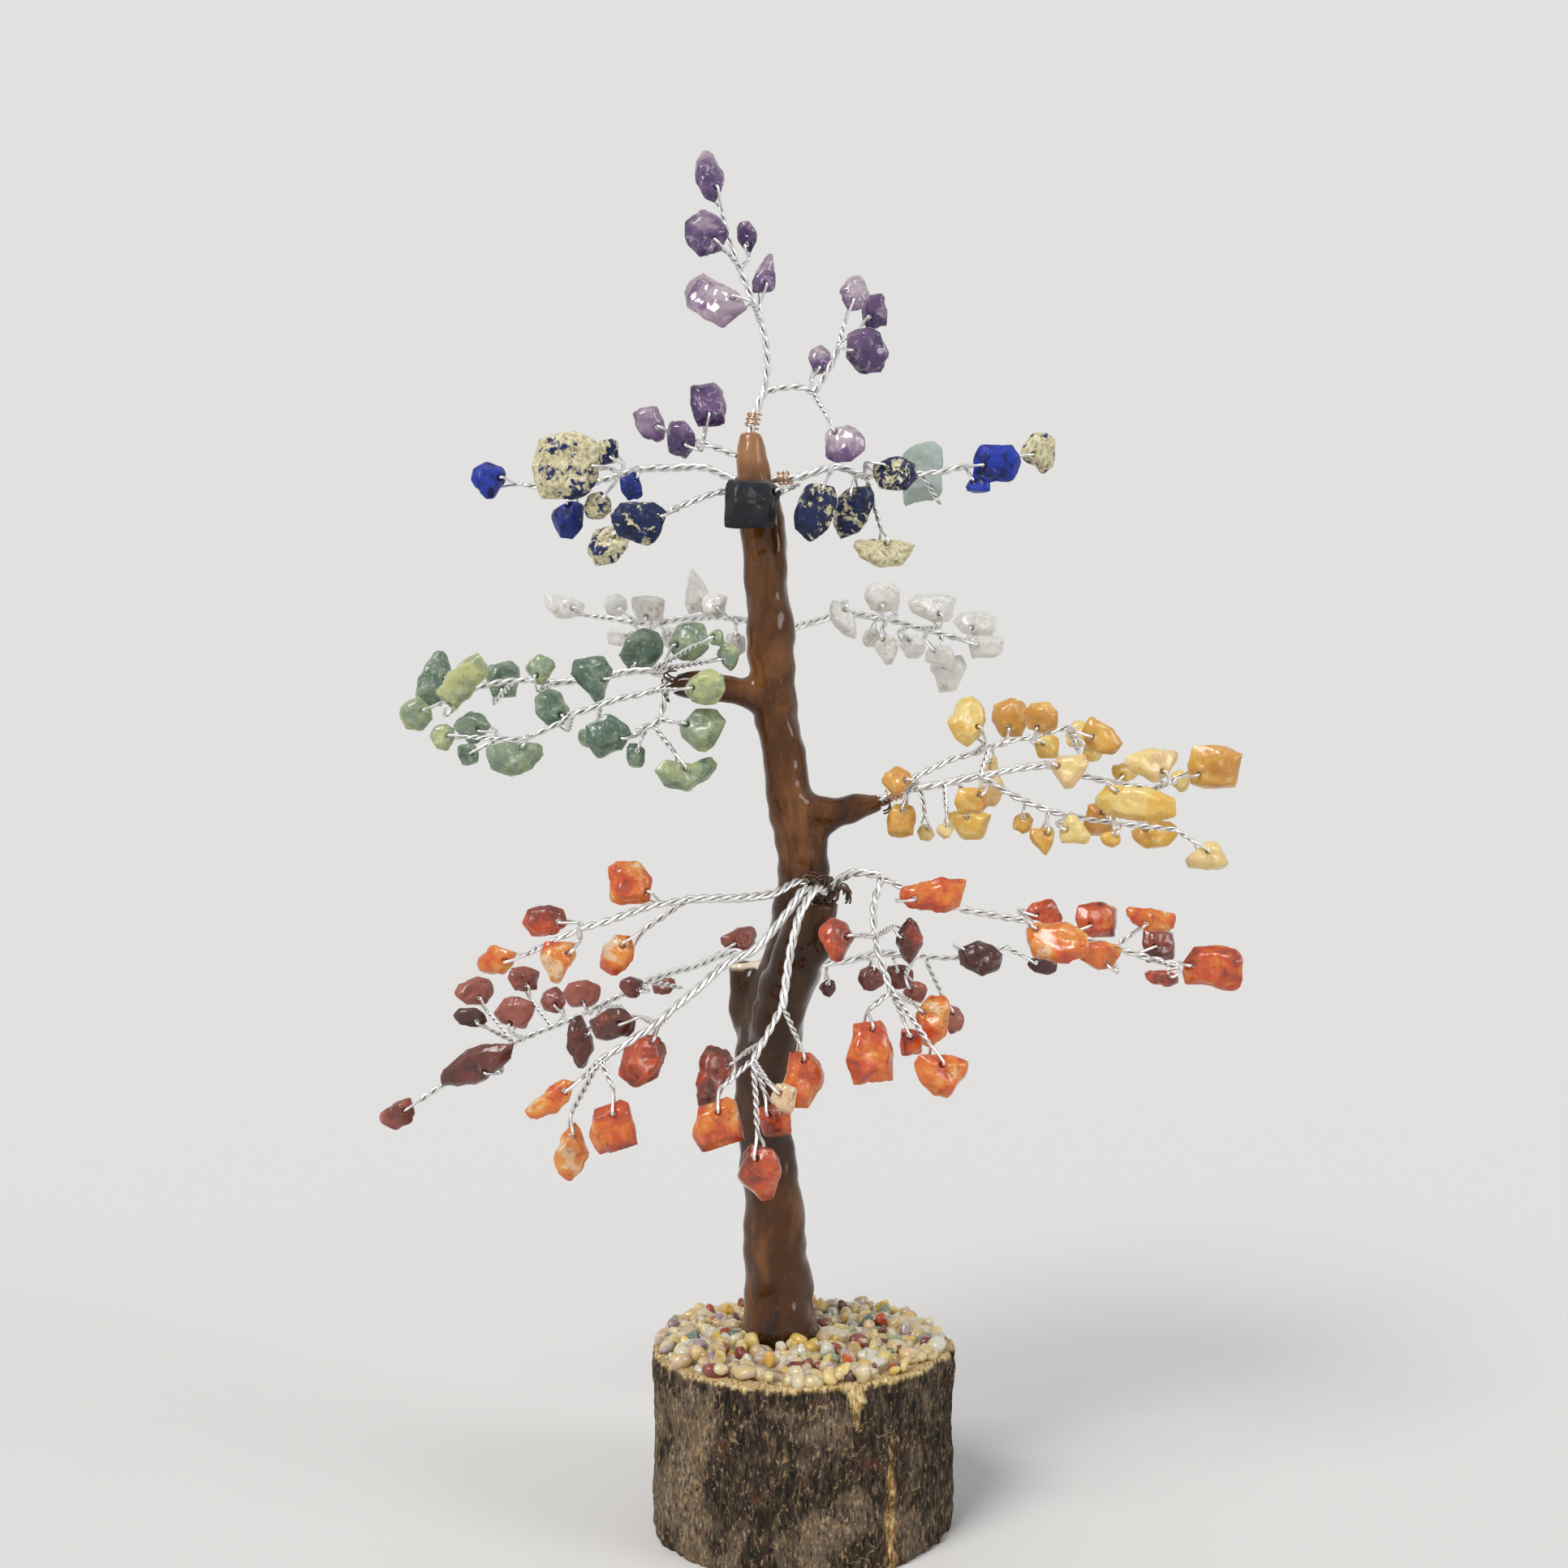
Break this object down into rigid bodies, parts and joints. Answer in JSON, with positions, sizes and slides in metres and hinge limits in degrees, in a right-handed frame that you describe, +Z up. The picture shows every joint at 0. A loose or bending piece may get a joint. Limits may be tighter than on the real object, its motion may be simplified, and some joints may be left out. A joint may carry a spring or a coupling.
{
  "type": "gemstone tree ornament",
  "caption": "Free-standing ornamental tree: a bark-covered log slice carries a coated trunk, and soft twisted-wire sprays hold drilled, tumbled gem chips.",
  "frame": {"origin": "middle of the log slice's foot, on the surface that the tree stands on", "axes": "+Z up the trunk, +X to the right of the pictured front, +Y away from the viewer"},
  "size_m": [0.1522, 0.0895, 0.2274],
  "materials": {
    "sawn_wood": "rough sawn end grain",
    "bark": "dry fibrous bark",
    "clear_glue": "set clear glue",
    "brown_coating": "glossy brown lacquered skin",
    "armature_wire": "dull wire bundle",
    "silver_wire": "bright silvered wire, twisted in pairs",
    "copper_wire": "soft bare copper",
    "amethyst": "tumbled, polished",
    "lapis": "tumbled, polished, flecked",
    "clear_quartz": "tumbled, clear to milky",
    "green_quartz": "tumbled, translucent",
    "yellow_quartz": "tumbled, waxy",
    "carnelian": "tumbled, glassy, translucent",
    "red_jasper": "tumbled, opaque"
  },
  "bodies": {
    "stand": {"log_wood": "sawn_wood", "log_bark": "bark", "glue_bed": "clear_glue", "gravel_quartz": "clear_quartz", "gravel_citrine": "yellow_quartz", "gravel_carnelian": "carnelian", "gravel_amethyst": "amethyst", "gravel_jasper": "red_jasper", "gravel_aventurine": "green_quartz", "trunk_coating": "brown_coating", "armature_bundle": "armature_wire"},
    "amethyst_crown_spray": {"amethyst_crown_wires": "silver_wire", "amethyst_crown_chips": "amethyst", "crown_binding": "copper_wire"},
    "amethyst_right_spray": {"amethyst_right_wires": "silver_wire", "amethyst_right_chips": "amethyst"},
    "amethyst_left_spray": {"amethyst_left_wires": "silver_wire", "amethyst_left_chips": "amethyst"},
    "lapis_left_spray": {"lapis_left_wires": "silver_wire", "lapis_left_chips": "lapis"},
    "lapis_right_spray": {"lapis_right_wires": "silver_wire", "lapis_right_chips": "lapis", "lapis_binding": "copper_wire"},
    "quartz_left_spray": {"quartz_left_wires": "silver_wire", "quartz_left_chips": "clear_quartz"},
    "quartz_right_spray": {"quartz_right_wires": "silver_wire", "quartz_right_chips": "clear_quartz"},
    "green_quartz_spray": {"green_quartz_wires": "silver_wire", "green_quartz_chips": "green_quartz"},
    "yellow_quartz_spray": {"yellow_quartz_wires": "silver_wire", "yellow_quartz_chips": "yellow_quartz", "yellow_binding": "copper_wire"},
    "carnelian_left_spray": {"carnelian_left_wires": "silver_wire", "carnelian_left_chips": "carnelian"},
    "carnelian_low_spray": {"carnelian_low_wires": "silver_wire", "carnelian_low_chips": "carnelian"},
    "carnelian_front_spray": {"carnelian_front_wires": "silver_wire", "carnelian_front_chips": "carnelian"},
    "carnelian_right_spray": {"carnelian_right_wires": "silver_wire", "carnelian_right_chips": "carnelian"},
    "jasper_left_spray": {"jasper_left_wires": "silver_wire", "jasper_left_chips": "red_jasper"},
    "jasper_right_spray": {"jasper_right_wires": "silver_wire", "jasper_right_chips": "red_jasper"},
    "carnelian_pendant_leaf": {"carnelian_pendant_leaf": "carnelian"},
    "carnelian_pendant_left": {"carnelian_pendant_left": "carnelian"},
    "carnelian_pendant_orange": {"carnelian_pendant_orange": "carnelian"},
    "carnelian_pendant_front": {"carnelian_pendant_front": "carnelian"},
    "carnelian_pendant_low": {"carnelian_pendant_low": "carnelian"},
    "carnelian_pendant_right": {"carnelian_pendant_right": "carnelian"}
  },
  "joints": [
    {"name": "amethyst_crown_bend", "type": "hinge", "parent": "stand", "child": "amethyst_crown_spray", "pos_m": [-0.00817, 0, 0.18025], "axis": [0, 1, 0], "range_deg": [-8, 2]},
    {"name": "amethyst_right_bend", "type": "hinge", "parent": "amethyst_crown_spray", "child": "amethyst_right_spray", "pos_m": [-0.00549, 0, 0.18655], "axis": [0, 1, 0], "range_deg": [-6, 2]},
    {"name": "amethyst_left_bend", "type": "hinge", "parent": "stand", "child": "amethyst_left_spray", "pos_m": [-0.01085, 0, 0.17583], "axis": [0, 0, 1], "range_deg": [-8, 8]},
    {"name": "lapis_left_bend", "type": "hinge", "parent": "stand", "child": "lapis_left_spray", "pos_m": [-0.01085, 0, 0.17154], "axis": [0, 0, 1], "range_deg": [-6, 6]},
    {"name": "lapis_right_bend", "type": "hinge", "parent": "stand", "child": "lapis_right_spray", "pos_m": [-0.00415, -0.0008, 0.17168], "axis": [0, 0, 1], "range_deg": [-6, 6]},
    {"name": "quartz_left_bend", "type": "hinge", "parent": "stand", "child": "quartz_left_spray", "pos_m": [-0.00593, 0.00348, 0.1477], "axis": [0, 0, 1], "range_deg": [-6, 6]},
    {"name": "quartz_right_bend", "type": "hinge", "parent": "stand", "child": "quartz_right_spray", "pos_m": [-0.00349, 0.00348, 0.14716], "axis": [0, 0, 1], "range_deg": [-6, 6]},
    {"name": "green_quartz_bend", "type": "hinge", "parent": "stand", "child": "green_quartz_spray", "pos_m": [-0.02094, -0.00161, 0.13822], "axis": [0, 0, 1], "range_deg": [-6, 6]},
    {"name": "yellow_quartz_bend", "type": "hinge", "parent": "stand", "child": "yellow_quartz_spray", "pos_m": [0.0134, 0, 0.11888], "axis": [0, 0, 1], "range_deg": [-6, 6]},
    {"name": "carnelian_left_bend", "type": "hinge", "parent": "stand", "child": "carnelian_left_spray", "pos_m": [0.00222, -0.01197, 0.10441], "axis": [0, 0, 1], "range_deg": [-6, 6]},
    {"name": "carnelian_low_bend", "type": "hinge", "parent": "stand", "child": "carnelian_low_spray", "pos_m": [0.00216, -0.01546, 0.10448], "axis": [0, 0, 1], "range_deg": [-5, 5]},
    {"name": "carnelian_front_bend", "type": "hinge", "parent": "stand", "child": "carnelian_front_spray", "pos_m": [0.00356, -0.01585, 0.1045], "axis": [1, 0, 0], "range_deg": [-5, 5]},
    {"name": "carnelian_right_bend", "type": "hinge", "parent": "stand", "child": "carnelian_right_spray", "pos_m": [0.00426, -0.01313, 0.10435], "axis": [0, 0, 1], "range_deg": [-6, 6]},
    {"name": "jasper_left_bend", "type": "hinge", "parent": "stand", "child": "jasper_left_spray", "pos_m": [-0.00944, 0.00268, 0.09223], "axis": [0, 0, 1], "range_deg": [-6, 6]},
    {"name": "jasper_right_bend", "type": "hinge", "parent": "stand", "child": "jasper_right_spray", "pos_m": [-0.00024, 0.00348, 0.09148], "axis": [0, 0, 1], "range_deg": [-6, 6]},
    {"name": "pendant_leaf_swing", "type": "hinge", "parent": "carnelian_low_spray", "child": "carnelian_pendant_leaf", "pos_m": [-0.03401, -0.0351, 0.07], "axis": [0.2582, -0.9335, 0.2487], "range_deg": [-20, 20]},
    {"name": "pendant_left_swing", "type": "hinge", "parent": "carnelian_low_spray", "child": "carnelian_pendant_left", "pos_m": [-0.02714, -0.04156, 0.07455], "axis": [0.0174, -0.9993, -0.0324], "range_deg": [-20, 20]},
    {"name": "pendant_orange_swing", "type": "hinge", "parent": "carnelian_front_spray", "child": "carnelian_pendant_orange", "pos_m": [-0.00017, -0.02765, 0.07981], "axis": [0.2582, -0.9335, 0.2487], "range_deg": [-20, 20]},
    {"name": "pendant_front_swing", "type": "hinge", "parent": "carnelian_front_spray", "child": "carnelian_pendant_front", "pos_m": [-0.01219, -0.03923, 0.0745], "axis": [0.0174, -0.9993, -0.0324], "range_deg": [-20, 12]},
    {"name": "pendant_low_swing", "type": "hinge", "parent": "carnelian_front_spray", "child": "carnelian_pendant_low", "pos_m": [-0.00627, -0.03936, 0.06816], "axis": [-0.2827, -0.9285, -0.2406], "range_deg": [-20, 20]},
    {"name": "pendant_right_swing", "type": "hinge", "parent": "carnelian_right_spray", "child": "carnelian_pendant_right", "pos_m": [0.0099, -0.03104, 0.0849], "axis": [0.2582, -0.9335, 0.2487], "range_deg": [-20, 20]}
  ]
}
